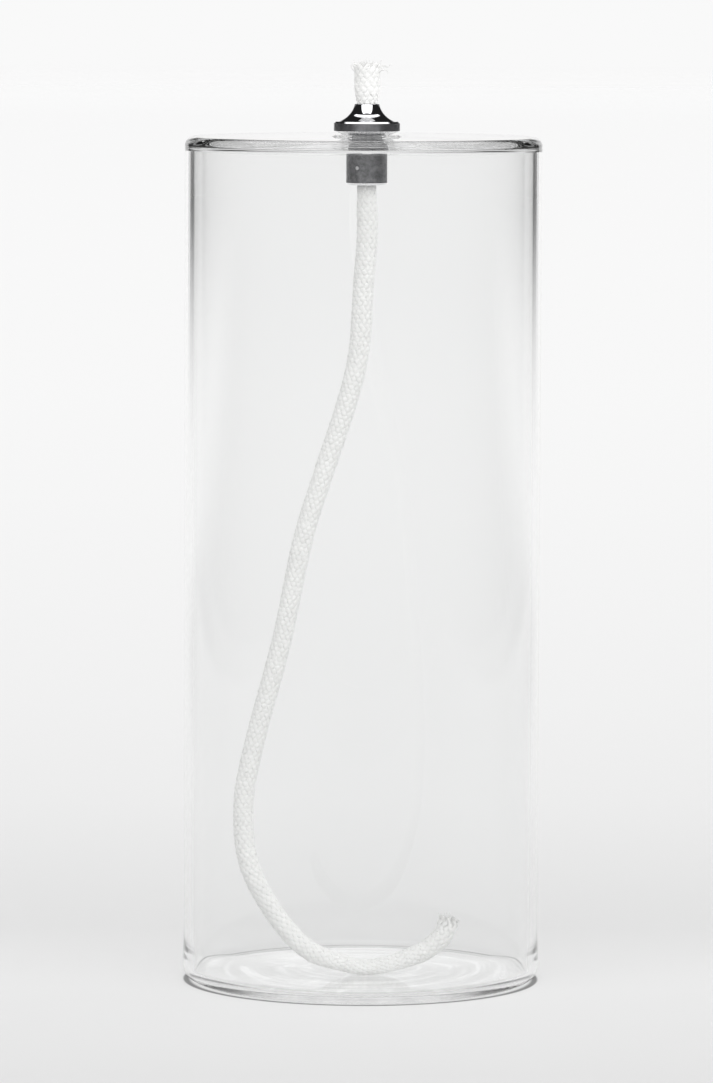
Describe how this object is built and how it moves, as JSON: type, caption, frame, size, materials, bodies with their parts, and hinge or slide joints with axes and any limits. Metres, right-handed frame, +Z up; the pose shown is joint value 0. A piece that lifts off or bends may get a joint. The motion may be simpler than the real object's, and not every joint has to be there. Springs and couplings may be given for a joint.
{
  "type": "glass fuel burner",
  "caption": "Closed glass cylinder on a flat base with a drop-in metal wick holder in its top and a round braided wick hanging inside.",
  "frame": {"origin": "centre of the glass base, on the plane that the burner stands on", "axes": "+Z up along the glass cylinder, +X to the right and +Y to the back when the loose end of the wick points right"},
  "size_m": [0.0804, 0.0804, 0.207],
  "materials": {
    "clear_glass": "clear, fire polished",
    "polished_steel": "turned and polished",
    "turned_steel": "as turned, satin",
    "white_braid": "matt white braid",
    "white_yarn": "matt white yarn"
  },
  "bodies": {
    "reservoir": {"glass_body": "clear_glass"},
    "burner": {"burner_head": "polished_steel", "guide_sleeve": "turned_steel"},
    "wick": {"wick_sheath": "white_braid", "wick_core": "white_yarn"}
  },
  "joints": [
    {"name": "burner_lift", "type": "slide", "parent": "reservoir", "child": "burner", "axis": [0, 0, 1], "range_m": [0, 0.03]},
    {"name": "wick_feed", "type": "slide", "parent": "burner", "child": "wick", "axis": [0, 0, 1], "range_m": [0, 0.008]}
  ]
}
